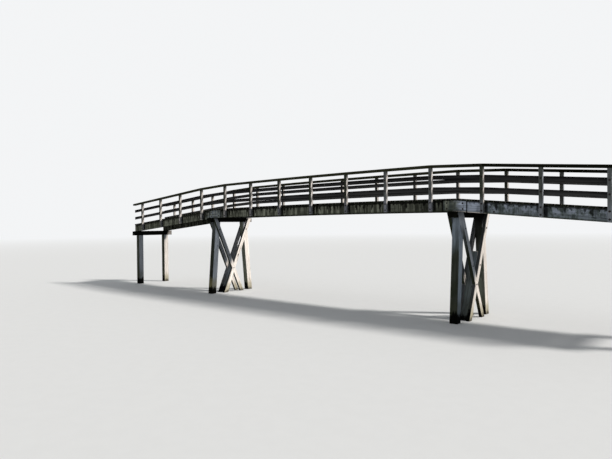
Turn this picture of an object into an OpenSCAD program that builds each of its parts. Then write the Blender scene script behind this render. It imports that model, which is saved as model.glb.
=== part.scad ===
// Timber footbridge of three spans on two braced pile bents.
// Millimetres, X along the bridge, Y across it (near side is -Y), Z up from the water.
// The origin is at the water, midway between the piers and between the beams.

/* [Spans] */
// Distance between neighbouring railing posts
bay = 1600; // [1200:20:2000]
// Bays of the centre span, between the two piers
centre_bays = 7; // [4:1:9]
// Bays of each end span, from a pier to the bank
end_bays = 4; // [2:1:5]
// Height of the deck above the water at the piers
pier_deck_h = 3665; // [3000:5:4500]
// Rise of the deck from the piers to the middle of the centre span
camber = 36; // [0:1:120]
// Fall of the deck from a pier to the end of the bridge
end_fall = 595; // [200:5:900]

/* [Beams] */
// Width across the outer faces of the two laminated beams
beams_out = 1810; // [1400:10:2200]
// Width of a beam
beam_w = 140; // [100:5:200]
// Depth of a beam
beam_d = 325; // [240:1:420]
// Length of the board let into the beam joint over a pier
splice_l = 750; // [500:10:1000]
// Distance from the middle of a pier to the middle of the let-in board, towards the centre span
splice_in = 55; // [0:5:100]
// Thickness of the let-in board
splice_t = 45; // [30:1:60]
// Gap between the end of a let-in board and its housing
splice_gap = 5; // [2:0.5:8]

/* [Deck] */
// Planks in each bay, an even number so that each post stands at a gap
bay_planks = 10; // [8:2:12]
// Gap between neighbouring planks
plank_gap = 10; // [5:1:15]
// Thickness of a plank
plank_t = 60; // [40:1:80]
// Length of a plank beyond the outer face of a beam
plank_over = 15; // [5:1:40]
// Clearance round a post where the planks are notched for it
notch_gap = 5; // [2:1:10]

/* [Railing] */
// Side of the square railing posts
post_w = 100; // [80:5:130]
// Height of a post's foot above the underside of the beam
post_foot = 12; // [0:1:60]
// Height of the handrail's top above the deck
rail_h = 1030; // [900:5:1200]
// Depth of the handrail
handrail_d = 84; // [50:1:100]
// Width of the handrail
handrail_w = 150; // [120:5:200]
// Length that the handrail stands out past the posts
handrail_over = 10; // [0:1:20]
// Thickness of the two boards inside the posts
board_t = 38; // [25:1:60]
// Height of the upper board's lower edge above the deck
upper_h = 590; // [450:5:650]
// Depth of the upper board
upper_d = 130; // [90:5:200]
// Height of the lower board's lower edge above the deck
lower_h = 235; // [100:5:300]
// Depth of the lower board
lower_d = 130; // [90:5:200]
// Bays that one length of handrail or board covers in the centre span
rail_bays = 4; // [2:1:5]
// Gap between two lengths of handrail or board that meet on a post
rail_gap = 3; // [1:0.5:8]

/* [Piers] */
// Length of a pier cap, across the bridge
cap_l = 2400; // [2200:10:3000]
// Width of a pier cap
cap_w = 240; // [160:5:320]
// Depth of a pier cap
cap_d = 180; // [120:5:300]
// Side of a square leg
leg_w = 240; // [160:5:320]
// Distance between the middles of the leg tops
leg_top_c = 1562; // [1300:2:1900]
// Distance between the middles of the leg feet
leg_foot_c = 2112; // [1900:2:2600]
// Width of a brace
brace_w = 164; // [100:2:220]
// Thickness of a brace
brace_t = 100; // [50:2:120]
// Distance from the middle of the pier to a brace, at the underside of the cap
brace_head = 916; // [800:2:1050]
// Distance from the middle of the pier to a brace, at the foot
brace_foot = 474; // [300:2:700]
// Width of the raking strut that the braces of a pier clasp between them
strut_w = 200; // [120:5:260]
// Height of the strut's head above the water
strut_top = 2050; // [1500:10:2600]
// Distance from the middle of the pier to the strut, at the underside of the cap
strut_head = 856; // [600:2:1000]
// Distance from the middle of the pier to the strut, at the foot
strut_foot = 354; // [200:2:600]
// Clearance at the sides of a halved crossing
halving_gap = 1; // [0.5:0.5:3]
// Gap between the head of a brace and the underside of the beam
head_gap = 6; // [2:1:30]

/* [Bank seats] */
// Length of the sill under the beam ends, across the bridge
sill_l = 2200; // [2000:10:3000]
// Width of a sill
sill_w = 240; // [160:5:320]
// Depth of a sill
sill_d = 200; // [120:5:300]
// Distance from the end of the beams back to the sill
sill_back = 60; // [0:5:300]
// Side of a square pile under a sill
pile_w = 240; // [160:5:320]
// Distance between the middles of the two piles
pile_c = 1500; // [1200:10:1700]

/* [Hidden] */
n_bays = centre_bays + 2 * end_bays;
half_c = centre_bays * bay / 2;
half_l = n_bays * bay / 2;
beam_out_y = beams_out / 2;
step = bay / 2;
stations = concat([-half_l], [for (k = [0 : 2 * centre_bays]) k * step - half_c], [half_l]);
post_x = [for (i = [0 : n_bays - 1]) (i - (n_bays - 1) / 2) * bay];

// Height of the beams' top line at a station
function profile(x) = abs(x) <= half_c
    ? pier_deck_h - plank_t + camber * (1 - pow(x / half_c, 2))
    : pier_deck_h - plank_t - end_fall * (abs(x) - half_c) / (half_l - half_c);
top_line = [for (x = stations) [x, profile(x)]];
function top_z(x) = lookup(x, top_line);
function under_z(x) = top_z(x) - beam_d;
// The railing's line runs straight from post to post
rail_line = [for (x = concat([-half_l], post_x, [half_l])) [x, profile(x)]];
// Places from a to b, with every bend of a line between them
function run(line, a, b) = concat([a], [for (p = line) if (p[0] > a + 1 && p[0] < b - 1) p[0]], [b]);

// Posts on which two lengths of handrail or board meet, the outermost just past each pier
joint_x = half_c + bay / 2;
joints = concat([-joint_x], [for (k = [rail_bays : rail_bays : centre_bays]) k * bay - joint_x], [joint_x]);

seat_z = under_z(half_c);
cap_z = seat_z - cap_d;
splice_x = half_c - splice_in;
sill_out = half_l - sill_back;
sill_z = under_z(sill_out) - sill_d;

// Puts a piece drawn on the far side on side s, -1 near or 1 far
module side(s) {
    if (s < 0) mirror([0, 1, 0]) children();
    else children();
}

// Puts a piece drawn at the right pier or bank at end e, -1 left or 1 right
module end(e) {
    if (e < 0) mirror([1, 0, 0]) children();
    else children();
}

// Extrudes an outline drawn in Y and Z along X
module along_x(x, length) {
    translate([x, 0, 0]) rotate([90, 0, 90]) linear_extrude(length) children();
}

// Timber from a to b and from y0 to y1, its underside at height low over one line
// and its top at height high over another
module ribbon(a, b, low, high, y0, y1, under = top_line, over = top_line) {
    lows = run(under, a, b);
    highs = run(over, a, b);
    n = len(highs);
    translate([0, y1, 0]) rotate([90, 0, 0]) linear_extrude(y1 - y0)
        polygon(concat(
            [for (x = lows) [x, lookup(x, under) + low]],
            [for (i = [n - 1 : -1 : 0]) [highs[i], lookup(highs[i], over) + high]]));
}

// Handrail or board from a to b in lengths that meet on posts
module rail(a, b, low, high, y0, y1) {
    ends = concat([a], [for (x = joints) if (x > a + 1 && x < b - 1) x], [b]);
    for (i = [0 : len(ends) - 2]) {
        from = ends[i] > 1 - half_l ? ends[i] + rail_gap / 2 : ends[i];
        to = ends[i + 1] < half_l - 1 ? ends[i + 1] - rail_gap / 2 : ends[i + 1];
        ribbon(from, to, low, high, y0, y1, rail_line, rail_line);
    }
}

// Housing for the let-in board at the joint over the right pier
module splice_housing() {
    l = splice_l + 2 * splice_gap;
    translate([splice_x - l / 2, beam_out_y - splice_t, 0]) cube([l, splice_t + 10, 2 * pier_deck_h]);
}

module centre_beam(s) {
    color("dimgray") side(s) difference() {
        ribbon(-half_c, half_c, -beam_d, 0, beam_out_y - beam_w, beam_out_y);
        for (e = [-1, 1]) end(e) splice_housing();
    }
}

module end_beam(s, e) {
    color("dimgray") side(s) end(e) difference() {
        ribbon(half_c, half_l, -beam_d, 0, beam_out_y - beam_w, beam_out_y);
        splice_housing();
    }
}

module splices(e) {
    color("slategray") for (s = [-1, 1]) side(s) end(e)
        ribbon(splice_x - splice_l / 2, splice_x + splice_l / 2, -beam_d, 0,
            beam_out_y - splice_t, beam_out_y);
}

// Notches for the pair of posts at station x
module post_notches(x) {
    w = post_w + 2 * notch_gap;
    for (s = [-1, 1]) side(s)
        translate([x - w / 2, beam_out_y, 0]) cube([w, plank_over + 10, 2 * pier_deck_h]);
}

// Planks that lie on one straight stretch of the beams, n of them from a to b
module planks(a, b, n) {
    rise = top_z(b) - top_z(a);
    pitch = norm([b - a, rise]) / n;
    w = pitch - plank_gap;
    l = beams_out + 2 * plank_over;
    for (i = [0 : n - 1]) {
        mid = a + (b - a) * (i + 0.5) / n;
        posts = [for (x = post_x) if (abs(x - mid) < (pitch + post_w) / 2 + notch_gap) x];
        difference() {
            translate([a, -l / 2, top_z(a)]) rotate([0, -atan2(rise, b - a), 0])
                translate([pitch * (i + 0.5) - w / 2, 0, 0]) cube([w, l, plank_t]);
            for (x = posts) post_notches(x);
        }
    }
}

module centre_deck() {
    color("gray") for (k = [1 : 2 * centre_bays])
        planks(stations[k], stations[k + 1], bay_planks / 2);
}

module end_deck(e) {
    color("gray") end(e) planks(half_c, half_l, end_bays * bay_planks);
}

// Posts between a and b, from beside the beam's underside to the handrail
module posts(s, a, b) {
    color("darkgray") side(s) for (x = post_x) if (x > a && x < b)
        ribbon(x - post_w / 2, x + post_w / 2, post_foot - beam_d, plank_t + rail_h - handrail_d,
            beam_out_y, beam_out_y + post_w, top_line, rail_line);
}

module handrail(s, a, b) {
    outer = beam_out_y + post_w + handrail_over;
    color("gray") side(s)
        rail(a, b, plank_t + rail_h - handrail_d, plank_t + rail_h, outer - handrail_w, outer);
}

module boards(s, a, b) {
    color("dimgray") side(s) {
        rail(a, b, plank_t + upper_h, plank_t + upper_h + upper_d, beam_out_y - board_t, beam_out_y);
        rail(a, b, plank_t + lower_h, plank_t + lower_h + lower_d, beam_out_y - board_t, beam_out_y);
    }
}

// Cross timber under the beams, its top dressed to their undersides
module bearer(x0, width, bottom, length) {
    xs = run(top_line, x0, x0 + width);
    translate([0, length / 2, 0]) rotate([90, 0, 0]) linear_extrude(length)
        polygon(concat(
            [[x0 + width, bottom], [x0, bottom]],
            [for (x = xs) [x, under_z(x)]]));
}

module cap(e) {
    color("dimgray") end(e) bearer(half_c - cap_w / 2, cap_w, cap_z, cap_l);
}

// Outline of a timber of width w that leans from middle y0 at the foot to y1 at the cap's underside
module leaning(y0, y1, w, top) {
    lean = (y1 - y0) / cap_z;
    hw = w / 2 * norm([1, lean]);
    polygon([
        [y0 - hw, 0], [y0 + hw, 0],
        [y0 + lean * top + hw, top], [y0 + lean * top - hw, top]]);
}

module leg(s, e) {
    color("slategray") side(s) end(e) along_x(half_c - leg_w / 2, leg_w)
        leaning(leg_foot_c / 2, leg_top_c / 2, leg_w, cap_z);
}

// Brace on the right pier with its head at side s, between two depths over the leg's face
// on the bank side (d = 1) or the span side (d = -1)
module brace_bar(s, d, w, from, to) {
    top = under_z(half_c + cap_w / 2 + brace_t) - head_gap;
    x0 = half_c + d * (max(leg_w, cap_w) / 2 + (d > 0 ? from : to));
    side(s) along_x(x0, to - from) leaning(-brace_foot, brace_head, w, top);
}

// One of the two braces of a face, halved over the other where they cross
module brace(s, d, e) {
    outside = s * d * e < 0;
    cut_from = outside ? -1 : brace_t / 2;
    cut_to = outside ? brace_t / 2 : brace_t + 1;
    color("gainsboro") end(e) difference() {
        brace_bar(s, d, brace_w, 0, brace_t);
        brace_bar(-s, d, brace_w + 2 * halving_gap, cut_from, cut_to);
    }
}

// Strut in the plane of the legs, held on both sides by the braces, its head towards the far side
module strut(e) {
    width = max(leg_w, cap_w);
    color("slategray") end(e) along_x(half_c - width / 2, width)
        leaning(-strut_foot, strut_head, strut_w, strut_top);
}

module sill(e) {
    color("dimgray") end(e) bearer(sill_out - sill_w, sill_w, sill_z, sill_l);
}

module piles(e) {
    color("slategray") end(e) for (s = [-1, 1]) side(s)
        translate([sill_out - (sill_w + pile_w) / 2, pile_c / 2 - pile_w / 2, 0])
            cube([pile_w, pile_w, sill_z]);
}

end_beam(-1, -1);  // beam_near_left
centre_beam(-1);  // beam_near_centre
end_beam(-1, 1);  // beam_near_right
end_beam(1, -1);  // beam_far_left
centre_beam(1);  // beam_far_centre
end_beam(1, 1);  // beam_far_right
splices(-1);  // splices_left_pier
splices(1);  // splices_right_pier
end_deck(-1);  // deck_left
centre_deck();  // deck_centre
end_deck(1);  // deck_right
posts(-1, -half_l, -half_c);  // posts_near_left
posts(-1, -half_c, half_c);  // posts_near_centre
posts(-1, half_c, half_l);  // posts_near_right
posts(1, -half_l, -half_c);  // posts_far_left
posts(1, -half_c, half_c);  // posts_far_centre
posts(1, half_c, half_l);  // posts_far_right
handrail(-1, -half_l, -joint_x);  // handrail_near_left
handrail(-1, -joint_x, joint_x);  // handrail_near_centre
handrail(-1, joint_x, half_l);  // handrail_near_right
handrail(1, -half_l, -joint_x);  // handrail_far_left
handrail(1, -joint_x, joint_x);  // handrail_far_centre
handrail(1, joint_x, half_l);  // handrail_far_right
boards(-1, -half_l, -joint_x);  // boards_near_left
boards(-1, -joint_x, joint_x);  // boards_near_centre
boards(-1, joint_x, half_l);  // boards_near_right
boards(1, -half_l, -joint_x);  // boards_far_left
boards(1, -joint_x, joint_x);  // boards_far_centre
boards(1, joint_x, half_l);  // boards_far_right
cap(-1);  // cap_left
leg(-1, -1);  // leg_near_left
leg(1, -1);  // leg_far_left
strut(-1);  // strut_left
brace(-1, -1, -1);  // brace_span_near_left
brace(1, -1, -1);  // brace_span_far_left
brace(-1, 1, -1);  // brace_bank_near_left
brace(1, 1, -1);  // brace_bank_far_left
cap(1);  // cap_right
leg(-1, 1);  // leg_near_right
leg(1, 1);  // leg_far_right
strut(1);  // strut_right
brace(-1, -1, 1);  // brace_span_near_right
brace(1, -1, 1);  // brace_span_far_right
brace(-1, 1, 1);  // brace_bank_near_right
brace(1, 1, 1);  // brace_bank_far_right
sill(-1);  // sill_left
piles(-1);  // piles_left
sill(1);  // sill_right
piles(1);  // piles_right
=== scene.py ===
"""Finish, fixings and stage of a timber footbridge with three spans on two braced pile bents.

Metres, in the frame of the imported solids: X runs along the bridge, Y across it with the near side
at -Y, and Z up from the water.
"""

import math
import random

import bpy
from bpy.props import FloatProperty, FloatVectorProperty, IntProperty, PointerProperty
from mathutils import Matrix, Vector


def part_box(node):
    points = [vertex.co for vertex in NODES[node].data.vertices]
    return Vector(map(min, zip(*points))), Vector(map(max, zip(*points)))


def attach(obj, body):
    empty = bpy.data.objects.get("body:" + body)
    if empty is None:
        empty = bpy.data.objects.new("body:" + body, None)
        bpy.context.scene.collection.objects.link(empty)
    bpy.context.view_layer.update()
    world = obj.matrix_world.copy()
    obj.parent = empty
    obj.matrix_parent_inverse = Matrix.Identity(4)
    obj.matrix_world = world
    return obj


bl_info = {
    "name": "Timber footbridge",
    "version": (1, 0, 0),
    "blender": (4, 5, 0),
    "location": "View3D > Sidebar > Footbridge",
    "description": "Dresses a timber footbridge with weathered wood, bolts and screws",
    "category": "Object",
}

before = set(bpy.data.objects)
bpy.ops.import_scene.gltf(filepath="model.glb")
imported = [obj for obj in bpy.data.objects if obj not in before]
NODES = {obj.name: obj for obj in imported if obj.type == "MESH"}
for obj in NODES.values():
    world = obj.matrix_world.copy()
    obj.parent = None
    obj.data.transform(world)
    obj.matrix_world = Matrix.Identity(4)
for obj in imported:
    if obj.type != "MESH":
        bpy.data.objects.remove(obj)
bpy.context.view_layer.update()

# The line that the beams' tops follow: a parabola over the centre span, straight over the end spans
CENTRE_LO, CENTRE_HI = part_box("beam_near_centre")
END_LO, END_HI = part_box("beam_near_right")
HALF_CENTRE = CENTRE_HI.x
HALF_LENGTH = END_HI.x
PIER_TOP = END_HI.z
CAMBER = CENTRE_HI.z - PIER_TOP
BEAM_DEPTH = PIER_TOP - CENTRE_LO.z
SLOPE = (PIER_TOP - BEAM_DEPTH - END_LO.z) / (HALF_LENGTH - HALF_CENTRE)
BEAM_FACE = -CENTRE_LO.y
BEAM_MIDDLE = (CENTRE_HI.y + CENTRE_LO.y) / 2
# Layers glued one on another in a beam
LAYERS = 5

POST_APART = 1.6
POST_FACE = -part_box("posts_near_centre")[0].y
PLANK_PITCH = POST_APART / 10
PLANK_T = 0.06
DECK_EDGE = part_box("deck_centre")[1].y

# Middle and half length of the boards let into the joints of the beams
SPLICE_LO, SPLICE_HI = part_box("splices_right_pier")
SPLICE_MIDDLE = (SPLICE_LO.x + SPLICE_HI.x) / 2
SPLICE_HALF = (SPLICE_HI.x - SPLICE_LO.x) / 2

# Boards of a railing: how high the lower one begins over the beams' top line, how far up the next
# one is, and how deep they are
BOARD_LOW = 0.295
BOARD_APART = 0.355
BOARD_DEPTH = 0.13
BOARD_MIDDLES = [BOARD_LOW + BOARD_DEPTH / 2 + i * BOARD_APART for i in range(2)]

# Bolts: how far below the beams' top line they are, and how far from the middle of a joint
POST_BOLT_DROPS = (0.05, BEAM_DEPTH - 0.075)
SPLICE_BOLT_DROPS = (0.07, 0.235)
SPLICE_BOLT_OFF = 0.25
BEAM_BOLT_DROP = BEAM_DEPTH - 0.068
BEAM_BOLT_OFF = 1.12
# How far the bolt heads of a rail board stand over and under its middle
HEAD_OFF = 0.035
# Heights of the bolts along each brace
BRACE_BOLT_HEIGHTS = (1.636, 2.775)
# Deck screws: how far they stand from the middle of a plank, how far they stray along X and Y, and
# the bevel round their heads
SCREW_OFF = 0.04
SCREW_STRAY = (0.004, 0.008)
SCREW_RIM = 0.0008

# Direction towards the sun that bleached the timber, which the key light also comes from, and
# from which the painted sunlight and painted shade on the wood are worked out
SUN_WAY = Vector((0.70, 0.36, 0.66)).normalized()

# The camera's place, its heading, pitch and roll in degrees, and its lens in millimetres
CAMERA_PLACE = (12.383, -15.429, 2.929)
CAMERA_TURNS = (41.111, -0.491, -0.611)
CAMERA_LENS = 30.711

FLOOR_RADIUS = 900
# Distances between which the floor fades into the backdrop
FADE_FROM, FADE_TO = 30.0, 160.0

# Turns of a position so that its X runs along the timber
ALONG_X = (0.0, 0.0, 0.0)
ALONG_Y = (0.0, 0.0, math.radians(-90))
ALONG_Z = (0.0, math.radians(90), 0.0)

# Heights that black wet wood reaches on shaded and on sunny faces
WET = (0.30, 0.09)
# How the legs and struts differ in weathering and painted shade: damp_and_shade is the tone of
# their faces turned from the sun, damp wood and painted shade, the rest are values of timber()
LEG_WEAR_AND_SHADE = {
    "leg_near_left": {"damp_and_shade": 0.5, "moss": 0.8, "cleared": 0.15, "green_front": 0.75},
    "leg_near_right": {"damp_and_shade": 0.75, "moss": 0.8, "cleared": 0.9, "wet": (0.30, 0.24)},
    "leg_far_left": {"damp_and_shade": 3.0},
    "leg_far_right": {"damp_and_shade": 2.2, "deck_shade_depth": 1.7, "deck_shade": 1.0},
    "strut_right": {"damp_and_shade": 2.2, "wet": (0.14, 0.09)},
}


def top_of_beam(x):
    """Height of the beams' top line at a station."""
    inner, outer = min(abs(x), HALF_CENTRE), max(abs(x) - HALF_CENTRE, 0.0)
    return PIER_TOP + CAMBER * (1 - (inner / HALF_CENTRE) ** 2) - SLOPE * outer


def stations(node, apart=0.3):
    """Middles along X of the separate pieces in a node that stand further apart than that."""
    xs = sorted(v.co.x for v in NODES[node].data.vertices)
    groups = [[xs[0]]]
    for x in xs[1:]:
        if x - groups[-1][-1] > apart:
            groups.append([])
        groups[-1].append(x)
    return [(g[0] + g[-1]) / 2 for g in groups]


def lean_line(node):
    """Middle in Y of a leaning timber at its foot, and how far it leans for each metre up."""
    points = [v.co for v in NODES[node].data.vertices]
    top = max(p.z for p in points)
    foot_y = [p.y for p in points if p.z < 0.001]
    head_y = [p.y for p in points if p.z > top - 0.001]
    foot = (min(foot_y) + max(foot_y)) / 2
    return foot, ((min(head_y) + max(head_y)) / 2 - foot) / top


POST_X = sorted(x for part in ("left", "centre", "right") for x in stations(f"posts_near_{part}"))


def paint(name, description, default):
    """A colour that the user can change."""
    return FloatVectorProperty(name=name, description=description, subtype="COLOR", size=3,
                               min=0, max=1, default=default)


def length(name, description, low, high, default):
    """A length that the user can change, within its limits."""
    return FloatProperty(name=name, description=description, unit="LENGTH", min=low, max=high,
                         default=default)


class TimberColours(bpy.types.PropertyGroup):
    # Silver is bleached wood, and also painted sunlight on the faces turned to the sun
    silver_and_sunlight: paint("Silver", "Wood bleached by the sun", (0.74, 0.68, 0.63))
    # Slate and blue slate: patina, and also painted shade where the deck or other timbers keep the sun
    # off faces turned to it
    slate_and_shade: paint("Slate", "Bluish patina on sheltered faces turned to the sun", (0.23, 0.25, 0.28))
    blue_slate_and_shade: paint("Blue slate", "The same on the legs of the right pier", (0.22, 0.26, 0.31))
    ash: paint("Ash", "Lilac grey of the posts where they stand against the beams",
               (0.20, 0.205, 0.235))
    # Damp and shade: damp wood, and also painted shade on the faces turned from the sun
    damp_and_shade: paint("Damp and shade", "Dark grey of faces turned from the sun", (0.066, 0.072, 0.058))
    moss: paint("Moss", "Black-green film on the dampest faces", (0.030, 0.036, 0.023))
    beam: paint("Beam", "Dark olive face of the laminated beams", (0.060, 0.063, 0.049))
    beam_pale: paint("Beam streaks", "Pale streaks washed by the run-off", (0.33, 0.345, 0.275))
    beam_blue: paint("Beam near the right bank", "Greenish slate of the beams over the right span",
                     (0.115, 0.140, 0.135))
    frost: paint("Frost", "Pale blue-grey patches of the beams over the right span",
                 (0.34, 0.38, 0.46))
    rail: paint("Rail", "Olive grey of the handrail", (0.031, 0.033, 0.019))
    # The nearly black rail towards the right bank is painted shade
    rail_shade: paint("Rail near the right bank", "Nearly black wood of the handrail",
                     (0.004, 0.0042, 0.0025))
    board: paint("Rail board", "Nearly black wood of the boards", (0.034, 0.034, 0.034))
    # The black of the caps and sills is painted shade under the deck
    bearer: paint("Bearer", "Black wood of the caps and sills", (0.005, 0.005, 0.0045))
    # Stain and shade: black run-off, wet wood, cracks and seams, and also painted shade under the deck,
    # on the beams' undersides and inner faces, and on planks out of the sun
    stain_and_shade: paint("Stain and shade", "Black run-off and wet wood", (0.003, 0.003, 0.0025))
    algae: paint("Algae", "Yellow-green growth near the water", (0.34, 0.30, 0.15))
    zinc: paint("Zinc", "Dull galvanised steel of the bolts", (0.035, 0.035, 0.038))
    rust: paint("Rust", "Rust on the bolts", (0.035, 0.018, 0.011))


class FixingSizes(bpy.types.PropertyGroup):
    washer_d: length("Washer", "Diameter of a washer", 0.02, 0.1, 0.056)
    washer_t: length("Washer thickness", "Thickness of a washer", 0.002, 0.01, 0.005)
    nut_d: length("Nut", "Nut across its corners", 0.01, 0.06, 0.034)
    nut_t: length("Nut height", "Height of a nut", 0.005, 0.03, 0.016)
    dome_d: length("Dome head", "Diameter of a carriage bolt's head", 0.01, 0.06, 0.03)
    screw_d: length("Deck screw", "Diameter of a deck screw's head", 0.005, 0.03, 0.016)
    screw_t: length("Screw thickness", "Thickness of a deck screw's head", 0.002, 0.006, 0.003)
    facets: IntProperty(
        name="Facets", description="Sides of the round parts", min=8, max=32, default=16)


class StageSettings(bpy.types.PropertyGroup):
    key: FloatProperty(
        name="Key light", description="Strength of the sun lamp", min=0, max=10, default=3.2)
    key_angle: FloatProperty(
        name="Key softness", description="Angle that the key light fills", subtype="ANGLE",
        min=0, max=1, default=math.radians(7))
    sunlight: paint("Sunlight", "Colour of the key light", (1.0, 0.97, 0.92))
    fill: FloatProperty(
        name="Fill light", description="Strength of the sky all round", min=0, max=3,
        default=0.34)
    skylight: paint("Skylight", "Colour of the fill light", (0.93, 0.97, 1.0))
    floor: paint("Floor", "Colour of the floor", (0.76, 0.765, 0.77))
    backdrop: paint("Backdrop", "Colour behind the floor", (0.90, 0.91, 0.92))


def colours():
    return bpy.context.scene.footbridge_colours


def fixings():
    return bpy.context.scene.footbridge_fixings


def stage():
    return bpy.context.scene.footbridge_stage


class Graph:
    """Wires shader nodes into a tree."""

    def __init__(self, tree):
        self.tree = tree

    def add(self, kind, values=None, **settings):
        """A node with its settings, and a value or a socket for each named or numbered input."""
        node = self.tree.nodes.new(kind)
        node.location = (220 * len(self.tree.nodes), 0)
        for key, value in settings.items():
            setattr(node, key, value)
        for key, value in (values or {}).items():
            if isinstance(value, bpy.types.NodeSocket):
                self.tree.links.new(value, node.inputs[key])
            else:
                node.inputs[key].default_value = value
        return node

    def math(self, operation, *values):
        return self.add("ShaderNodeMath", dict(enumerate(values)), operation=operation).outputs[0]

    def plus(self, total, *more):
        """The sum of two values or more."""
        for value in more:
            total = self.math("ADD", total, value)
        return total

    def minus(self, a, b):
        return self.math("SUBTRACT", a, b)

    def times(self, product, *more):
        """The product of two values or more."""
        for value in more:
            product = self.math("MULTIPLY", product, value)
        return product

    def size(self, value):
        """The value without its sign."""
        return self.math("ABSOLUTE", value)

    def ramp(self, value, low, high, to_low=0.0, to_high=1.0):
        """The value's place between low and high, smoothed and clamped."""
        node = self.add("ShaderNodeMapRange", {
            "Value": value, "From Min": low, "From Max": high, "To Min": to_low, "To Max": to_high},
            interpolation_type="SMOOTHSTEP")
        return node.outputs[0]

    def draw(self, number):
        """A random value from 0 to 1 for each number."""
        node = self.add("ShaderNodeTexWhiteNoise", {"W": number}, noise_dimensions="1D")
        return node.outputs["Value"]

    def mix(self, share, a, b, blend="MIX"):
        """Two colours mixed, at the inputs that a Mix node keeps for colours."""
        node = self.add("ShaderNodeMix", {0: share, 6: rgba(a), 7: rgba(b)},
                        data_type="RGBA", blend_type=blend)
        return node.outputs[2]

    def toned(self, colour, tone):
        """A colour made darker or lighter by a value that changes over the surface."""
        return self.mix(1.0, colour, self.join(tone, tone, tone), "MULTIPLY")

    def noise(self, vector, scale, detail, roughness):
        node = self.add("ShaderNodeTexNoise", {
            "Vector": vector, "Scale": scale, "Detail": detail, "Roughness": roughness})
        return node.outputs["Fac"]

    def scaled(self, vector, scale, turn=(0, 0, 0), shift=(0, 0, 0)):
        node = self.add("ShaderNodeMapping", {
            "Vector": vector, "Location": shift, "Rotation": turn, "Scale": scale})
        return node.outputs[0]

    def split(self, vector):
        return self.add("ShaderNodeSeparateXYZ", {0: vector}).outputs[:3]

    def join(self, x, y, z):
        return self.add("ShaderNodeCombineXYZ", {0: x, 1: y, 2: z}).outputs[0]

    def group(self, name, values):
        return self.add("ShaderNodeGroup", values, node_tree=bpy.data.node_groups[name]).outputs


def rgba(colour):
    """A colour with its alpha, or a socket as it is."""
    if isinstance(colour, bpy.types.NodeSocket):
        return colour
    return (*colour[:3], 1.0)


def shade(colour, factor):
    """A fixed colour made darker or lighter."""
    return [factor * v for v in colour]


def new_group(name, inputs, outputs, kind="NodeSocketFloat"):
    """An empty node group, as (graph, input sockets, output node).

    The inputs have their defaults, and one whose default is None is a vector.
    """
    tree = bpy.data.node_groups.new(name, "ShaderNodeTree")
    for label, default in inputs.items():
        vector = default is None
        socket = tree.interface.new_socket(
            name=label, in_out="INPUT", socket_type="NodeSocketVector" if vector else "NodeSocketFloat")
        if not vector:
            socket.default_value = default
    for label in outputs:
        tree.interface.new_socket(name=label, in_out="OUTPUT", socket_type=kind)
    graph = Graph(tree)
    return graph, graph.add("NodeGroupInput").outputs, graph.add("NodeGroupOutput")


def finish_group(graph, out, values):
    for label, socket in values.items():
        graph.tree.links.new(socket, out.inputs[label])


def line_group():
    """Straightens the bridge: height is measured from the beams' top line."""
    g, into, out = new_group("Along the bridge", {"Position": None}, ["Position"], "NodeSocketVector")
    x, y, z = g.split(into["Position"])
    away = g.size(x)
    inner = g.math("MINIMUM", away, HALF_CENTRE)
    outer = g.math("MAXIMUM", g.minus(away, HALF_CENTRE), 0.0)
    share = g.math("POWER", g.math("DIVIDE", inner, HALF_CENTRE), 2.0)
    rise = g.times(g.minus(1.0, share), CAMBER)
    line = g.minus(g.plus(rise, PIER_TOP), g.times(outer, SLOPE))
    finish_group(g, out, {"Position": g.join(x, y, g.minus(z, line))})


def wood_group():
    """Grain of a timber that runs along X of the position it is given."""
    g, into, out = new_group("Weathered grain", {"Position": None, "Seed": 0.0},
                             ["Bands", "Fibre", "Crack", "Blotch", "Height"])
    offset = g.times(into["Seed"], 7.31)
    place = g.add("ShaderNodeVectorMath", {0: into["Position"], 1: g.join(offset, offset, offset)},
                  operation="ADD").outputs[0]
    bands = g.noise(g.scaled(place, (0.35, 9.0, 9.0)), 1.6, 4.0, 0.6)
    fibre = g.noise(g.scaled(place, (2.5, 60.0, 60.0)), 1.0, 5.0, 0.7)
    blotch = g.noise(g.scaled(place, (1.0, 1.7, 1.7)), 2.2, 4.0, 0.62)
    # A crack runs where one noise crosses its middle, and only where another is high
    waver = g.noise(g.scaled(place, (0.55, 11.0, 11.0), shift=(3.1, 1.7, 5.3)), 1.0, 2.0, 0.4)
    slit = g.size(g.minus(waver, 0.5))
    cracked = g.noise(g.scaled(place, (1.1, 5.0, 5.0), shift=(9.0, 2.0, 4.0)), 1.0, 1.0, 0.5)
    crack = g.times(g.ramp(slit, 0.0, 0.012, 1.0, 0.0), g.ramp(cracked, 0.5, 0.62))
    height = g.minus(g.plus(g.times(fibre, 0.55), g.times(bands, 0.45)), crack)
    finish_group(g, out, {"Bands": bands, "Fibre": fibre, "Crack": crack, "Blotch": blotch,
                          "Height": height})


def exposure_group():
    """How far a face is turned to the sun or from it, and whether the bridge's deck shades it."""
    g, into, out = new_group("Exposure", {"Normal": None, "Position": None, "Breakup": 0.5},
                             ["Sunny", "Damp and shade", "Open", "Level"])
    facing = g.add("ShaderNodeVectorMath", {0: into["Normal"], 1: SUN_WAY},
                   operation="DOT_PRODUCT").outputs["Value"]
    uneven = g.times(g.minus(into["Breakup"], 0.5), 0.3)
    shifted = g.plus(facing, uneven)
    # Height at which a ray to the sun passes the far edge of the deck, over the beams' underside
    _, y, z = g.split(into["Position"])
    across = g.times(g.minus(DECK_EDGE, y), SUN_WAY.z / SUN_WAY.y)
    passing = g.plus(z, BEAM_DEPTH, across)
    ragged = g.plus(passing, g.times(uneven, 1.2))
    # These masks paint the key light's sun and shade into the colour of the wood, over its real
    # bleaching
    finish_group(g, out, {
        "Sunny": g.ramp(shifted, 0.05, 0.40),
        "Damp and shade": g.ramp(shifted, 0.10, -0.25),
        "Open": g.ramp(ragged, 0.12, -0.18),
        "Level": g.ramp(g.size(g.split(into["Normal"])[2]), 0.5, 0.9)})


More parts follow.
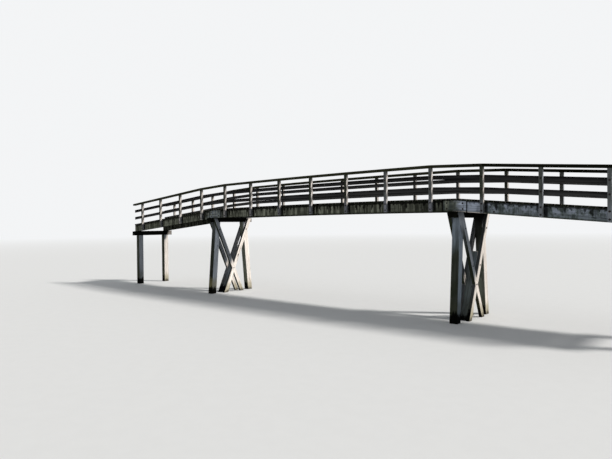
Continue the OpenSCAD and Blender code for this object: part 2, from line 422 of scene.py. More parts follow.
def waterline_group():
    """Black wet wood at the water, with yellow-green growth over it."""
    g, into, out = new_group("Waterline", {"Position": None, "Wet height": 0.1, "Growth height": 0.45},
                             ["Wet", "Growth"])
    ragged = g.noise(g.scaled(into["Position"], (16.0, 16.0, 3.5)), 1.0, 5.0, 0.75)
    level = g.minus(g.split(into["Position"])[2], g.times(g.minus(ragged, 0.5), 0.60))
    finish_group(g, out, {
        "Wet": g.ramp(g.minus(level, into["Wet height"]), -0.05, 0.06, 1.0, 0.0),
        "Growth": g.ramp(g.minus(level, into["Growth height"]), -0.30, 0.06, 1.0, 0.0)})


def runoff_group():
    """Black drips below the gaps between the planks, and pale streaks between the drips."""
    g, into, out = new_group("Run-off", {"Position": None, "Edge": 0.03, "Shorter": 0.0},
                             ["Stain and shade", "Streak", "Patch"])
    place, shorter = into["Position"], into["Shorter"]
    x, _, z = g.split(place)
    depth = g.times(z, -1.0)
    sway = g.noise(g.scaled(place, (5.0, 1.0, 7.0)), 1.0, 2.0, 0.6)
    planks = g.plus(g.math("DIVIDE", x, PLANK_PITCH), g.times(sway, 1.1))
    # Zero under a gap between planks and one under the middle of a plank
    from_gap = g.times(g.math("PINGPONG", planks, 0.5), 2.0)
    from_gap = g.math("POWER", from_gap, g.ramp(shorter, 0.0, 1.0, 1.0, 0.7))
    # How far down each drip reaches
    own = g.draw(g.math("FLOOR", g.plus(planks, 0.5)))
    reach = g.plus(0.07, g.times(g.math("POWER", own, 1.5), 0.30))
    reach = g.times(reach, g.ramp(shorter, 0.0, 1.0, 1.0, 0.85))
    left_over = g.minus(1.0, g.math("DIVIDE", depth, reach))
    fringe = g.noise(g.scaled(place, (38.0, 8.0, 5.0)), 1.0, 4.0, 0.7)
    uneven = g.times(g.minus(fringe, 0.5), 0.9)
    drip = g.ramp(g.plus(g.minus(left_over, from_gap), uneven), -0.10, 0.25)
    # A black band along the top under the edge of the deck: dark plank ends, and the painted
    # shadow of the deck's overhang
    past_edge = g.minus(g.plus(depth, g.times(uneven, 0.05)), into["Edge"])
    band = g.ramp(past_edge, 0.0, 0.025, 1.0, 0.0)
    coarse = g.noise(g.scaled(place, (9.0, 2.0, 0.8), shift=(0.0, 5.0, 0.0)), 1.0, 2.0, 0.5)
    fine = g.noise(g.scaled(place, (30.0, 2.0, 1.6), shift=(7.0, 0.0, 0.0)), 1.0, 4.0, 0.7)
    streaks = g.plus(g.times(coarse, 0.5), g.times(fine, 0.5))
    patch = g.noise(g.scaled(place, (1.1, 1.0, 2.2), shift=(4.0, 0.0, 1.0)), 1.0, 3.0, 0.6)
    finish_group(g, out, {"Stain and shade": g.math("MAXIMUM", drip, band),
                          "Streak": g.ramp(streaks, 0.45, 0.62), "Patch": patch})


def build_groups():
    line_group()
    wood_group()
    exposure_group()
    waterline_group()
    runoff_group()


class Surface:
    """A new material with its graph, its position and its normal."""

    def __init__(self, name):
        self.material = bpy.data.materials.new(name)
        self.material.use_nodes = True
        self.g = Graph(self.material.node_tree)
        self.bsdf = self.material.node_tree.nodes["Principled BSDF"]
        self.position = self.g.add("ShaderNodeTexCoord").outputs["Object"]
        self.normal = self.g.add("ShaderNodeNewGeometry").outputs["Normal"]

    def straight(self):
        """The position with its height measured from the beams' top line."""
        return self.g.group("Along the bridge", {"Position": self.position})["Position"]

    def grain(self, place, seed, turn=ALONG_X):
        """The grain of a timber whose length that turn lays along X."""
        return self.g.group("Weathered grain", {
            "Position": self.g.scaled(place, (1, 1, 1), turn), "Seed": seed})

    def exposure(self, place, wood):
        """Masks of dampness and painted sun and shade, their edges broken by the wood's blotches."""
        return self.g.group("Exposure", {
            "Normal": self.normal, "Position": place, "Breakup": wood["Blotch"]})

    def grained(self, colour, wood, own=None, contrast=1.0):
        """A colour with the tone of bands, fibres and cracks, and of its own piece."""
        g = self.g
        bands = g.ramp(wood["Bands"], 0.25, 0.75, 1 - 0.30 * contrast, 1 + 0.26 * contrast)
        fibres = g.ramp(wood["Fibre"], 0.2, 0.8, 1 - 0.24 * contrast, 1 + 0.24 * contrast)
        tone = g.times(bands, fibres)
        if own is not None:
            tone = g.times(tone, g.plus(0.80, g.times(own, 0.40)))
        return g.mix(g.times(wood["Crack"], 0.8), g.toned(colour, tone), colours().stain_and_shade)

    def roughness(self, wood, smoothest=0.72):
        return self.g.ramp(wood["Fibre"], 0.2, 0.8, smoothest, 0.92)

    def finish(self, colour, roughness, height, bump=0.3, distance=0.004):
        """Wires the colour, the roughness and the relief, and gives the material."""
        g = self.g
        g.tree.links.new(colour, self.bsdf.inputs["Base Color"])
        g.tree.links.new(roughness, self.bsdf.inputs["Roughness"])
        relief = g.add("ShaderNodeBump", {"Height": height, "Strength": bump, "Distance": distance})
        g.tree.links.new(relief.outputs[0], self.bsdf.inputs["Normal"])
        self.bsdf.inputs["Specular IOR Level"].default_value = 0.0
        return self.material


def timber(name, sunny, sheltered, damp_and_shade, seed, turn, straighten=False, cell=None, moss=0.5,
           water=False, under_deck=False, shut=0.0, cleared=0.0, green_front=0.08, deck_shade_depth=0.16,
           deck_shade=0.6, wet=WET):
    """Weathered wood: faces to the sun pale from bleaching and painted sunlight, sheltered faces and
    those turned from the sun in painted shade, and the water's marks.

    cell is the length along X that has a tone of its own, shut the share of the sun that other
    timbers keep off as painted shade, cleared the share of the front's head that takes the
    sheltered colour in place of moss, green_front the growth on shaded faces, and deck_shade the
    strength of the painted shade of the deck just below the beams, down to deck_shade_depth.
    """
    s = Surface(name)
    g = s.g
    c = colours()
    straight = s.straight()
    place = straight if straighten else s.position
    own = None
    if cell:
        own = g.draw(g.math("FLOOR", g.math("DIVIDE", g.split(place)[0], cell)))
        seed = g.plus(g.times(own, 9.0), seed)
    wood = s.grain(place, seed, turn)
    face = s.exposure(straight, wood)
    # Faces turned to the sun: bleaching and painted sunlight, which the painted shade of the deck and
    # of other timbers takes off
    bleached_and_lit = face["Sunny"]
    if under_deck:
        bleached_and_lit = g.times(bleached_and_lit, face["Open"])
    if shut:
        bleached_and_lit = g.times(bleached_and_lit, 1.0 - shut)
    # Faces turned from the sun: damp wood with patches of moss, in painted shade
    shady = g.mix(g.times(g.ramp(wood["Blotch"], 0.38, 0.62), moss), damp_and_shade, c.moss)
    if cleared:
        # The upper part of the front takes the sheltered colour, painted shade, in place of moss
        ragged_height = g.plus(g.split(s.position)[2], g.times(wood["Blotch"], 1.1),
                      g.times(wood["Bands"], 1.2))
        shady = g.mix(g.times(g.ramp(ragged_height, 3.05, 4.2), cleared), shady, sheltered)
    # Lit and shaded copies of the wood: the sunny colour is painted sunlight, the sheltered and damp
    # ones painted shade
    colour = g.mix(bleached_and_lit, g.mix(face["Damp and shade"], sheltered, shady), sunny)
    if under_deck:
        # Painted shade of the deck blackens the faces out of the sun just below the beams
        height = g.plus(g.split(straight)[2], BEAM_DEPTH, g.times(wood["Blotch"], 0.25))
        share = g.times(g.ramp(height, -deck_shade_depth, 0.10), g.ramp(bleached_and_lit, 0.0, 1.0, deck_shade, 0.0))
        colour = g.mix(share, colour, c.stain_and_shade)
    colour = s.grained(colour, wood, own)
    roughness = s.roughness(wood)
    if water:
        line = g.group("Waterline", {
            "Position": s.position, "Wet height": g.ramp(bleached_and_lit, 0.0, 1.0, *wet),
            "Growth height": g.ramp(bleached_and_lit, 0.0, 1.0, 0.75, 0.50)})
        green = g.times(line["Growth"], g.ramp(wood["Fibre"], 0.25, 0.7, 0.5, 1.0))
        lit = g.ramp(bleached_and_lit, 0.0, 1.0, green_front, 0.75)
        colour = g.mix(g.times(green, lit), colour, c.algae)
        dull = g.ramp(bleached_and_lit, 0.0, 1.0, 0.5 * (1 - green_front), 0.22)
        colour = g.mix(g.times(green, dull), colour, c.moss)
        soaked = g.ramp(bleached_and_lit, 0.0, 1.0, 0.98, 0.75)
        colour = g.mix(g.times(line["Wet"], soaked), colour, c.stain_and_shade)
        roughness = g.minus(roughness, g.times(line["Wet"], 0.35))
    return s.finish(colour, roughness, wood["Height"])


def post_material():
    """Posts: dark in front, in painted shade, pale towards the sun from bleaching and painted
    sunlight, and lilac grey against the beams.
    """
    s = Surface("railing_post")
    g = s.g
    c = colours()
    straight = s.straight()
    x = g.split(s.position)[0]
    own = g.draw(g.math("FLOOR", g.math("DIVIDE", g.plus(x, POST_APART / 2), POST_APART)))
    wood = s.grain(s.position, g.times(own, 9.0), ALONG_Z)
    face = s.exposure(straight, wood)
    height = g.split(straight)[2]
    # The front, turned from the sun, in painted shade: mossy, with its low part bare, and mossy
    # all over beside the left bank
    front = g.mix(g.ramp(x, 3.0, 6.5, 0.85, 0.35), c.damp_and_shade, c.moss)
    front = g.mix(g.times(own, g.ramp(x, 1.0, 3.0, 0.0, 0.35)), front, c.ash)
    bare = g.mix(g.ramp(x, -1.0, -6.5, 0.0, 0.5), c.ash, c.silver_and_sunlight)
    bare = g.mix(g.ramp(x, 4.8, 6.4), bare, shade(c.slate_and_shade, 0.78))
    low = g.ramp(g.plus(height, g.times(wood["Blotch"], 0.3)), 0.42, 0.02)
    front = g.mix(g.times(low, 0.85), front, bare)
    front = g.mix(g.ramp(x, -8.4, -9.2, 0.0, 0.7), front, c.moss)
    # The side to the sun, with bleaching and painted sunlight: the last posts towards the right
    # bank are the greyer ones
    grey = g.plus(g.ramp(x, 6.8, 7.6, 0.0, 0.75), g.times(own, 0.30))
    side = g.mix(grey, c.silver_and_sunlight, c.slate_and_shade)
    side = g.mix(g.times(g.ramp(wood["Blotch"], 0.4, 0.7), 0.35), side, c.slate_and_shade)
    # The handrail keeps the sun from the head of the post, and the deck from its foot
    side = g.mix(g.times(g.ramp(height, 0.86, 0.99), 0.85), side, c.damp_and_shade)
    side = g.mix(g.ramp(height, 0.02, -0.06), side, g.mix(0.5, c.ash, c.damp_and_shade))
    colour = s.grained(g.mix(face["Sunny"], front, side), wood, own, 0.8)
    return s.finish(colour, s.roughness(wood), wood["Height"])


def rail_material():
    """Handrail: olive grey, nearly black towards the right bank as painted shade, with arrises
    pale from bleaching and painted sunlight.
    """
    s = Surface("handrail")
    g = s.g
    c = colours()
    place = s.straight()
    wood = s.grain(place, 5.0)
    face = s.exposure(place, wood)
    x = g.plus(g.split(place)[0], g.times(wood["Blotch"], 3.0))
    # Towards the right bank the rail turns nearly black: painted shade
    base = g.mix(g.times(g.ramp(x, 6.0, 8.5), 0.9), c.rail, c.rail_shade)
    # Faces turned to the sun: bleaching, and painted sunlight
    colour = g.mix(face["Sunny"], base, g.mix(0.55, c.silver_and_sunlight, base))
    return s.finish(s.grained(colour, wood), s.roughness(wood), wood["Height"])


def board_material():
    """Boards of the railing: nearly black, darkest along their upper edges."""
    s = Surface("rail_board")
    g = s.g
    c = colours()
    place = s.straight()
    wood = s.grain(place, 6.0)
    face = s.exposure(place, wood)
    _, y, z = g.split(place)
    lift = g.math("FRACT", g.math("DIVIDE", g.minus(z, BOARD_LOW), BOARD_APART))
    share = g.times(lift, BOARD_APART / BOARD_DEPTH)
    tone = g.ramp(g.plus(share, g.times(wood["Blotch"], 0.4)), 0.35, 1.15, 1.5, 0.45)
    # The upper board is the darker one, and those of the far railing are painted paler, as painted
    # light on their inner faces
    tone = g.times(tone, g.ramp(z, 0.5, 0.6, 0.86, 0.58), g.ramp(y, -0.2, 0.2, 1.0, 2.2))
    # Faces turned to the sun: bleaching, and painted sunlight
    colour = g.mix(face["Sunny"], g.toned(c.board, tone), g.mix(0.6, c.silver_and_sunlight, c.board))
    return s.finish(s.grained(colour, wood), s.roughness(wood), wood["Height"])


def post_shade(g, x):
    """Mask of the strip beside each post that its shade keeps dark."""
    beside = g.math("WRAP", x, POST_APART / 2, -POST_APART / 2)
    return g.times(g.ramp(beside, 0.035, 0.06), g.ramp(beside, 0.19, 0.12))


def end_seam(g, x):
    """Mask of the black seams at the ends of the boards let into the beams."""
    off = g.minus(g.size(x), SPLICE_MIDDLE)
    from_end = g.size(g.minus(g.size(off), SPLICE_HALF))
    return g.ramp(from_end, 0.012, 0.030, 0.9, 0.0)


def glue_line(g, layer):
    """Mask of the lines between the layers of a beam, from the height counted in layers."""
    near_line = g.math("PINGPONG", g.plus(layer, 0.5), 0.5)
    return g.ramp(g.size(g.minus(near_line, 0.5)), 0.0, 0.06, 1.0, 0.0)


def beam_material(name, seed, board=False):
    """Laminated timber with its layers, and the marks of the water that runs off the deck.

    The beams are olive over the middle and the left, and blue-grey over the right span. A board let
    into them is the paler and bluer one.
    """
    s = Surface(name)
    g = s.g
    c = colours()
    place = s.straight()
    x, y, z = g.split(place)
    layer = g.math("DIVIDE", z, BEAM_DEPTH / LAYERS)
    own = g.draw(g.plus(g.math("FLOOR", layer), seed))
    wood = g.group("Weathered grain", {"Position": place, "Seed": g.plus(g.times(own, 5.0), seed)})
    upright = g.minus(1.0, s.exposure(place, wood)["Level"])

    # Blue-grey from the middle of the right pier's joint, and bare and pale beside that joint
    about = g.plus(x, g.times(g.minus(wood["Blotch"], 0.5), 0.5))
    bluish = g.ramp(about, HALF_CENTRE - 0.12, HALF_CENTRE + 0.12)
    bare = g.times(bluish, g.ramp(about, HALF_CENTRE + 0.9, HALF_CENTRE + 0.7))
    base = g.mix(g.math("MAXIMUM", bluish, 0.45) if board else bluish, c.beam, c.beam_blue)
    light = g.mix(bluish, c.beam_pale, shade(c.frost, 1.3) if board else c.frost)
    if not board:
        light = g.mix(bare, light, shade(c.frost, 1.35))

    # Pale streaks between the drips, and pale and dull spots where the wood is blue-grey
    marks = g.group("Run-off", {"Position": place, "Edge": g.ramp(bluish, 0.0, 1.0, 0.045, 0.026),
                                "Shorter": bluish})
    streak = g.times(marks["Streak"], g.ramp(marks["Patch"], 0.30, 0.55, 0.45, 1.0))
    spots = g.noise(g.scaled(place, (6.0, 1.0, 5.0), shift=(2.0, 0.0, 3.0)), 1.0, 4.0, 0.65)
    mottled = g.times(bluish, g.ramp(spots, 0.46, 0.60), g.ramp(z, -BEAM_DEPTH, -0.12, 0.25, 1.0))
    pale = g.math("MAXIMUM", g.times(bare, 0.9), mottled)
    pale = g.math("MAXIMUM", pale, g.times(streak, g.ramp(bluish, 0.0, 1.0, 0.9, 0.6)))
    colour = g.mix(g.times(pale, upright), base, light)

    # A paler, bluish patch at the left pier's joint as well
    off_left = g.size(g.plus(about, HALF_CENTRE))
    cold = g.ramp(off_left, 0.05, 0.75, 0.75 if board else 0.45, 0.0)
    worn = g.ramp(wood["Blotch"], 0.40, 0.62, 0.25, 1.0)
    colour = g.mix(g.times(cold, worn, upright), colour, c.frost)
    if not board:
        # The last metres before the right pier are the darker ones
        dim = g.times(g.ramp(x, 3.0, 3.6, 0.0, 0.35), g.minus(1.0, bluish))
        dull = g.times(bluish, g.ramp(spots, 0.50, 0.38, 0.0, 0.45), upright)
        colour = g.mix(g.math("MAXIMUM", dim, dull), colour, c.stain_and_shade)
        colour = g.mix(g.times(post_shade(g, x), 0.92), colour, c.stain_and_shade)
    colour = s.grained(colour, wood, own, 0.8)

    # Moss along the foot of the face, and the lower arris washed pale beside the joint
    foot = g.ramp(z, 0.07 - BEAM_DEPTH, 0.01 - BEAM_DEPTH)
    colour = g.mix(g.times(foot, g.ramp(x, -7.0, 7.0, 0.15, 0.80)), colour, c.moss)
    arris = g.times(g.ramp(z, 0.028 - BEAM_DEPTH, 0.014 - BEAM_DEPTH), bare)
    colour = g.mix(g.times(arris, 0.8), colour, c.silver_and_sunlight)

    # Drips and the band along the top, painted shade on the underside and on the faces that look
    # in under the deck, seams and glue lines
    strength = 0.35 if board else g.ramp(g.size(x), 5.3, 6.3, 0.93, 0.80)
    colour = g.mix(g.times(marks["Stain and shade"], upright, strength), colour, c.stain_and_shade)
    normal = g.split(s.normal)
    colour = g.mix(g.times(g.ramp(normal[2], -0.3, -0.9), 0.8), colour, c.stain_and_shade)
    outward = g.times(normal[1], y)
    colour = g.mix(g.ramp(outward, -0.2, -0.6, 0.0, 0.6), colour, c.stain_and_shade)
    colour = g.mix(g.times(end_seam(g, x), upright), colour, c.stain_and_shade)
    glue = glue_line(g, layer)
    colour = g.mix(g.times(glue, g.ramp(bare, 0.0, 1.0, 0.25, 0.75)), colour, c.stain_and_shade)
    height = g.minus(wood["Height"], g.times(glue, 0.5))
    return s.finish(colour, s.roughness(wood, 0.7), height)


def steel_material():
    """Dull zinc that has begun to rust."""
    s = Surface("bolt_steel")
    g = s.g
    patches = g.noise(s.position, 38.0, 4.0, 0.65)
    rusty = g.ramp(patches, 0.42, 0.62)
    colour = g.mix(rusty, colours().zinc, colours().rust)
    g.tree.links.new(g.ramp(rusty, 0.0, 1.0, 0.7, 0.1), s.bsdf.inputs["Metallic"])
    return s.finish(colour, g.ramp(rusty, 0.0, 1.0, 0.45, 0.85), patches, 0.2, 0.001)


def named(*starts):
    """Names of the CAD nodes that begin with one of those words."""
    return [name for name in sorted(NODES) if name.startswith(starts)]


def leaning_turn(node):
    """Turn that lays a leaning timber's length along X."""
    lean = lean_line(node)[1]
    return (math.atan(lean), math.radians(90), 0.0)


def sharp_bevel(piece, width, segments, degrees):
    """A modifier that bevels the edges of a piece that are sharper than that."""
    edge = piece.modifiers.new("Arris", "BEVEL")
    edge.width = width
    edge.segments = segments
    edge.limit_method = "ANGLE"
    edge.angle_limit = math.radians(degrees)
    return edge


def dress(names, material, arris=0.004):
    """Gives CAD nodes their wood, and rounds their arrises."""
    for name in names:
        piece = NODES[name]
        if not piece.material_slots:
            piece.data.materials.append(material)
        for slot in piece.material_slots:
            slot.material = material
        weld = piece.modifiers.new("Weld", "WELD")
        weld.merge_threshold = 0.0002
        sharp_bevel(piece, arris, 2, 40)


def deselect():
    bpy.ops.object.select_all(action="DESELECT")


def pick(*pieces):
    """Selects these pieces alone, with the first one active."""
    deselect()
    for piece in pieces:
        piece.select_set(True)
    bpy.context.view_layer.objects.active = pieces[0]


def join(pieces, name):
    pick(*pieces)
    bpy.ops.object.join()
    pieces[0].name = name
    pieces[0].data.name = name
    return pieces[0]


def disc(sides, width, height, seat, rim):
    """An upright cylinder that stands at that height, with its edges bevelled."""
    deselect()
    bpy.ops.mesh.primitive_cylinder_add(
        vertices=sides, radius=width / 2, depth=height, location=(0, 0, seat + height / 2))
    piece = bpy.context.object
    pick(piece)
    edge = sharp_bevel(piece, rim, 1, 30)
    bpy.ops.object.modifier_apply(modifier=edge.name)
    return piece


def nut_and_washer():
    """A nut on its washer with the bolt's end standing out, its seat at the origin facing +Z."""
    f = fixings()
    stub_l = f.nut_t * 0.45
    washer = disc(f.facets, f.washer_d, f.washer_t, seat=0.0, rim=f.washer_t * 0.3)
    nut = disc(6, f.nut_d, f.nut_t, seat=f.washer_t, rim=f.nut_t * 0.12)
    stub = disc(f.facets // 2, f.nut_d * 0.52, stub_l, seat=f.washer_t + f.nut_t, rim=stub_l * 0.25)
    return join([washer, nut, stub], "bolt_master")


def dome_head():
    """A carriage bolt's domed head, its seat at the origin facing +Z."""
    f = fixings()
    deselect()
    bpy.ops.mesh.primitive_uv_sphere_add(segments=f.facets, ring_count=8, radius=f.dome_d / 2)
    bpy.ops.object.mode_set(mode="EDIT")
    bpy.ops.mesh.select_all(action="SELECT")
    bpy.ops.mesh.bisect(plane_co=(0, 0, 0), plane_no=(0, 0, 1), clear_inner=True, use_fill=True)
    bpy.ops.mesh.select_all(action="SELECT")
    bpy.ops.transform.resize(value=(1, 1, 0.42))
    bpy.ops.object.mode_set(mode="OBJECT")
    return bpy.context.object


def screw_head():
    """A flat screw head with its bevelled rim, sunk a third into the plank at the origin."""
    f = fixings()
    return disc(8, f.screw_d, f.screw_t, seat=-f.screw_t / 3, rim=SCREW_RIM)


def copies(master, places, name, material):
    """One mesh with the master at each (position, facing, spin), riding on the bridge."""
    made = []
    for position, facing, spin in places:
        piece = master.copy()
        piece.data = master.data.copy()
        bpy.context.scene.collection.objects.link(piece)
        turn = Vector(facing).to_track_quat("Z", "Y").to_matrix().to_4x4()
        piece.matrix_world = Matrix.Translation(position) @ turn @ Matrix.Rotation(spin, 4, "Z")
        made.append(piece)
    bpy.data.objects.remove(master)
    piece = join(made, name)
    pick(piece)
    bpy.ops.object.transform_apply(location=True, rotation=True, scale=True)
    piece.data.materials.clear()
    piece.data.materials.append(material)
    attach(piece, "root")
    return piece


def spun(rng):
    """A random turn about a bolt's own axis."""
    return rng.uniform(0, 2 * math.pi)


class DressBeams(bpy.types.Operator):
    """Laminated beams with glue lines, run-off stains and pale streaks"""
    bl_idname = "footbridge.dress_beams"
    bl_label = "Dress the beams"

    def execute(self, context):
        dress(named("beam_near", "beam_far"), beam_material("laminated_beam", 1.0))
        dress(named("splices"), beam_material("splice_board", 4.0, board=True), 0.003)
        return {"FINISHED"}


class DressDeck(bpy.types.Operator):
    """Cross planks, each with its own tone"""
    bl_idname = "footbridge.dress_deck"
    bl_label = "Dress the deck"

    def execute(self, context):
        c = colours()
        # Plank faces out of the sun are black, as dark ends and painted shade, and the tops are pale
        # from bleaching and painted sunlight
        planks = timber("deck_plank", shade(c.silver_and_sunlight, 0.42), c.stain_and_shade, c.stain_and_shade, 2.0, ALONG_Y,
                        straighten=True, cell=PLANK_PITCH, moss=0.6)
        dress(named("deck"), planks)
        return {"FINISHED"}


class DressRailing(bpy.types.Operator):
    """Posts, handrails and boards of the two railings"""
    bl_idname = "footbridge.dress_railing"
    bl_label = "Dress the railings"

    def execute(self, context):
        dress(named("posts"), post_material(), 0.005)
        dress(named("handrail"), rail_material(), 0.008)
        dress(named("boards"), board_material())
        return {"FINISHED"}


def seed_of(node, first, many):
    """A timber's own seed, worked out from its name."""
    return first + sum(map(ord, node)) % many


def leg_wood(node):
    """Wood of a leg or a strut, with the weathering and painted shade that LEG_WEAR_AND_SHADE gives."""
    c = colours()
    right = "right" in node
    wear_and_shade = {"damp_and_shade": 1.0, "moss": 0.3, **LEG_WEAR_AND_SHADE.get(node, {})}
    damp_and_shade = shade(c.damp_and_shade, wear_and_shade.pop("damp_and_shade"))
    # Sheltered faces: patina and painted shade; sunny ones: bleaching and painted sunlight
    sheltered = c.blue_slate_and_shade if right else shade(c.slate_and_shade, 1.75)
    sunny = shade(c.silver_and_sunlight, 1.0 if right else 1.12)
    return timber(f"wood_{node}", sunny, sheltered, damp_and_shade, seed_of(node, 8.0, 7), leaning_turn(node),
                  water=True, under_deck=True, **wear_and_shade)


def brace_wood(node):
    """Wood of a brace: greyer at the right pier, and in painted shade behind the other timbers."""
    c = colours()
    right = "right" in node
    behind = ("span" in node) == right and "far" in node
    # The head of the foremost one takes its sheltered colour in place of moss, as the near leg's does
    foremost = node == "brace_bank_near_right"
    # Sunny faces: bleaching and painted sunlight; sheltered ones: patina and painted shade; faces
    # turned from the sun: moss-black, also painted shade
    sunny = shade(c.silver_and_sunlight, 0.98 if right else 1.2)
    patina = 0.476 if right else 0.84
    sheltered = shade(c.slate_and_shade, 1.25 if foremost else patina)
    return timber(f"wood_{node}", sunny, sheltered, c.moss, seed_of(node, 9.0, 11),
                  leaning_turn(node), water=True, under_deck=True, shut=0.85 if behind else 0.0,
                  cleared=0.9 if foremost else 0.0)


class DressPiers(bpy.types.Operator):
    """Caps, legs, struts and crossed braces of the two pile bents"""
    bl_idname = "footbridge.dress_piers"
    bl_label = "Dress the piers"

    def execute(self, context):
        c = colours()
        # Caps and sills: black as painted shade under the deck, paler to the sun as painted sunlight
        bearer = timber("bearer", shade(c.silver_and_sunlight, 0.30), c.bearer, c.bearer, 7.0, ALONG_Y, moss=0.3,
                        under_deck=True)
        dress(named("cap", "sill"), bearer, 0.006)
        for node in named("leg", "strut"):
            dress([node], leg_wood(node), 0.006)
        for node in named("brace"):
            dress([node], brace_wood(node))
        return {"FINISHED"}


class DressBankSeats(bpy.types.Operator):
    """Piles under the sills at the two banks"""
    bl_idname = "footbridge.dress_bank_seats"
    bl_label = "Dress the bank piles"

    def execute(self, context):
        c = colours()
        # Bleaching and painted sunlight towards the sun, patina and painted shade out of it
        pile = timber("bank_pile", c.silver_and_sunlight, c.slate_and_shade, c.damp_and_shade, 12.0, ALONG_Z, moss=0.6, water=True,
                      under_deck=True)
        dress(named("piles"), pile, 0.006)
        return {"FINISHED"}


class AddBeamBolts(bpy.types.Operator):
    """Bolts through the posts, the splice boards and the beams, with nuts on the outer faces"""
    bl_idname = "footbridge.add_beam_bolts"
    bl_label = "Add the beam bolts"

    def execute(self, context):
        rng = random.Random(3)
        steel = steel_material()
        marks = [(SPLICE_MIDDLE + off, drop) for off in (-SPLICE_BOLT_OFF, SPLICE_BOLT_OFF)
                 for drop in SPLICE_BOLT_DROPS]
        marks += [(HALF_CENTRE + off, BEAM_BOLT_DROP) for off in (-BEAM_BOLT_OFF, BEAM_BOLT_OFF)]
        in_posts, in_beams = [], []
        for side in (-1, 1):
            for x in POST_X:
                for drop in POST_BOLT_DROPS:
                    place = (x, side * POST_FACE, top_of_beam(x) - drop)
                    in_posts.append((place, (0, side, 0), spun(rng)))
            for end in (-1, 1):
                for x, drop in marks:
                    place = (end * x, side * BEAM_FACE, top_of_beam(x) - drop)
                    in_beams.append((place, (0, side, 0), spun(rng)))
        copies(nut_and_washer(), in_posts, "bolts_posts", steel)
        copies(nut_and_washer(), in_beams, "bolts_beams", steel)
        return {"FINISHED"}


class AddRailBolts(bpy.types.Operator):
    """Carriage bolts that hold the boards to the posts, heads on the walkway side"""
    bl_idname = "footbridge.add_rail_bolts"
    bl_label = "Add the rail bolts"

    def execute(self, context):
        rng = random.Random(4)
        steel = bpy.data.materials["bolt_steel"]
        inner = -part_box("boards_near_centre")[1].y
        heads, nuts = [], []
        for side in (-1, 1):
            for x in POST_X:
                for middle in BOARD_MIDDLES:
                    for off in (-HEAD_OFF, HEAD_OFF):
                        place = (x, side * inner, top_of_beam(x) + middle + off)
                        heads.append((place, (0, -side, 0), spun(rng)))
                for middle in BOARD_MIDDLES:
                    place = (x, side * POST_FACE, top_of_beam(x) + middle)
                    nuts.append((place, (0, side, 0), spun(rng)))
        copies(dome_head(), heads, "bolt_heads_boards", steel)
        copies(nut_and_washer(), nuts, "bolt_nuts_boards", steel)
        return {"FINISHED"}


class AddBraceBolts(bpy.types.Operator):
    """Bolts along the braces and at their crossings"""
    bl_idname = "footbridge.add_brace_bolts"
    bl_label = "Add the brace bolts"

    def execute(self, context):
        rng = random.Random(5)
        steel = bpy.data.materials["bolt_steel"]
        places = []
        for node in named("brace"):
            lo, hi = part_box(node)
            foot, lean = lean_line(node)
            outward = 1 if ("bank" in node) == ("right" in node) else -1
            face = hi.x if outward > 0 else lo.x
            for z in BRACE_BOLT_HEIGHTS:
                places.append(((face, foot + lean * z, z), (outward, 0, 0), spun(rng)))
            if "near" in node:
                crossing = -foot / lean
                places.append(((face, 0.0, crossing), (outward, 0, 0), spun(rng)))
        copies(nut_and_washer(), places, "bolts_braces", steel)
        return {"FINISHED"}


class AddDeckScrews(bpy.types.Operator):
    """Two screws through each end of each plank"""
    bl_idname = "footbridge.add_deck_screws"
    bl_label = "Add the deck screws"

    def execute(self, context):
        rng = random.Random(6)
        steel = bpy.data.materials["bolt_steel"]
        stray_x, stray_y = SCREW_STRAY
        places = []
        for i in range(round(2 * HALF_LENGTH / PLANK_PITCH)):
            middle = (i + 0.5) * PLANK_PITCH - HALF_LENGTH
            slope = math.copysign(SLOPE, -middle) if abs(middle) > HALF_CENTRE else 0.0
            up = Vector((-slope, 0, 1)).normalized()
            for y in (BEAM_MIDDLE, -BEAM_MIDDLE):
                for off in (-SCREW_OFF, SCREW_OFF):
                    x = middle + off + rng.uniform(-stray_x, stray_x)
                    foot = Vector((x, y + rng.uniform(-stray_y, stray_y), top_of_beam(x)))
                    places.append((foot + up * PLANK_T, up, 0.0))
        copies(screw_head(), places, "screws_deck", steel)
        return {"FINISHED"}


class SetStage(bpy.types.Operator):
    """Pale floor, soft light and the camera"""
    bl_idname = "footbridge.set_stage"
    bl_label = "Set the stage"

    def execute(self, context):
        make_floor()
        make_world()
        make_key_light()
        make_camera()
        context.scene.view_settings.view_transform = "Standard"
        return {"FINISHED"}


def make_floor():
    """A wide floor at the water's height that fades into the backdrop."""
    deselect()
    bpy.ops.mesh.primitive_circle_add(
        vertices=96, radius=FLOOR_RADIUS, fill_type="NGON", location=(0, 0, -0.001))
    floor = bpy.context.object
    floor.name = "floor"
    material = bpy.data.materials.new("floor_paint")
    material.use_nodes = True
    nodes = material.node_tree.nodes
    g = Graph(material.node_tree)
    bsdf = nodes["Principled BSDF"]
    place = g.add("ShaderNodeTexCoord").outputs["Object"]
    distance = g.add("ShaderNodeVectorMath", {0: place}, operation="LENGTH").outputs["Value"]
    speckle = g.ramp(g.noise(place, 3.0, 4.0, 0.6), 0.3, 0.7, 0.985, 1.0)
    g.tree.links.new(g.toned(stage().floor, speckle), bsdf.inputs["Base Color"])
    bsdf.inputs["Roughness"].default_value = 0.9
    glow = g.add("ShaderNodeEmission", {"Color": rgba(stage().backdrop), "Strength": 1.0})
    far = g.ramp(distance, FADE_FROM, FADE_TO)
    blend = g.add("ShaderNodeMixShader", {0: far, 1: bsdf.outputs[0], 2: glow.outputs[0]})
    g.tree.links.new(blend.outputs[0], nodes["Material Output"].inputs["Surface"])
    floor.data.materials.append(material)


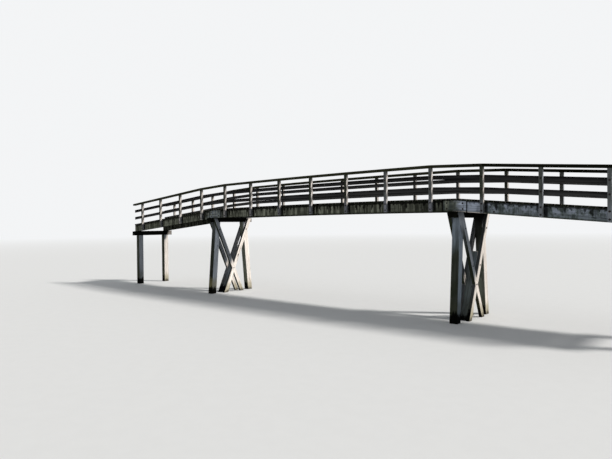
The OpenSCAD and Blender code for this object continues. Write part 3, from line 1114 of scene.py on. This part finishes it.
def make_world():
    """Soft light from all round, seen by the camera and in reflections as the backdrop."""
    world = bpy.data.worlds.new("soft_sky")
    bpy.context.scene.world = world
    world.use_nodes = True
    world.node_tree.nodes.clear()
    g = Graph(world.node_tree)
    rays = g.add("ShaderNodeLightPath").outputs
    seen = g.math("MAXIMUM", rays["Is Camera Ray"],
                  g.math("MAXIMUM", rays["Is Glossy Ray"], rays["Is Transmission Ray"]))
    light = g.add("ShaderNodeBackground", {"Color": rgba(stage().skylight), "Strength": stage().fill})
    show = g.add("ShaderNodeBackground", {"Color": rgba(stage().backdrop), "Strength": 1.0})
    blend = g.add("ShaderNodeMixShader", {0: seen, 1: light.outputs[0], 2: show.outputs[0]})
    g.add("ShaderNodeOutputWorld", {"Surface": blend.outputs[0]})


def make_key_light():
    """The sun lamp."""
    lamp = bpy.data.lights.new("key", "SUN")
    lamp.energy = stage().key
    lamp.angle = stage().key_angle
    lamp.color = stage().sunlight
    key = bpy.data.objects.new("key", lamp)
    bpy.context.scene.collection.objects.link(key)
    key.rotation_mode = "QUATERNION"
    key.rotation_quaternion = SUN_WAY.to_track_quat("Z", "Y")


def make_camera():
    """The camera stands on the near bank, a little lower than the deck, and looks level."""
    data = bpy.data.cameras.new("camera")
    camera = bpy.data.objects.new("camera", data)
    bpy.context.scene.collection.objects.link(camera)
    data.sensor_width = 36.0
    data.lens = CAMERA_LENS
    data.clip_end = 2000
    heading, pitch, roll = (math.radians(a) for a in CAMERA_TURNS)
    level = Vector((math.cos(heading), math.sin(heading), 0.0))
    forward = Vector((-math.sin(heading) * math.cos(pitch), math.cos(heading) * math.cos(pitch),
                      math.sin(pitch)))
    upright = level.cross(forward)
    right = level * math.cos(roll) + upright * math.sin(roll)
    up = upright * math.cos(roll) - level * math.sin(roll)
    turn = Matrix((right, up, -forward)).transposed()
    camera.matrix_world = Matrix.Translation(CAMERA_PLACE) @ turn.to_4x4()
    bpy.context.scene.camera = camera


class FootbridgePanel(bpy.types.Panel):
    """Lists the steps that dress the footbridge"""
    bl_idname = "VIEW3D_PT_footbridge"
    bl_label = "Timber footbridge"
    bl_space_type = "VIEW_3D"
    bl_region_type = "UI"
    bl_category = "Footbridge"

    def draw(self, context):
        for step in STEPS:
            self.layout.operator(step.bl_idname)
        for settings in (colours(), fixings(), stage()):
            for key in settings.__annotations__:
                self.layout.prop(settings, key)


STEPS = (DressBeams, DressDeck, DressRailing, DressPiers, DressBankSeats, AddBeamBolts,
         AddRailBolts, AddBraceBolts, AddDeckScrews, SetStage)
CLASSES = (TimberColours, FixingSizes, StageSettings, *STEPS, FootbridgePanel)


def register():
    for item in CLASSES:
        bpy.utils.register_class(item)
    bpy.types.Scene.footbridge_colours = PointerProperty(type=TimberColours)
    bpy.types.Scene.footbridge_fixings = PointerProperty(type=FixingSizes)
    bpy.types.Scene.footbridge_stage = PointerProperty(type=StageSettings)


def unregister():
    del bpy.types.Scene.footbridge_stage
    del bpy.types.Scene.footbridge_fixings
    del bpy.types.Scene.footbridge_colours
    for item in reversed(CLASSES):
        bpy.utils.unregister_class(item)


def main():
    register()
    build_groups()
    steps = bpy.ops.footbridge
    steps.dress_beams()
    steps.dress_deck()
    steps.dress_railing()
    steps.dress_piers()
    steps.dress_bank_seats()
    steps.add_beam_bolts()
    steps.add_rail_bolts()
    steps.add_brace_bolts()
    steps.add_deck_screws()
    steps.set_stage()


if __name__ == "__main__":
    main()
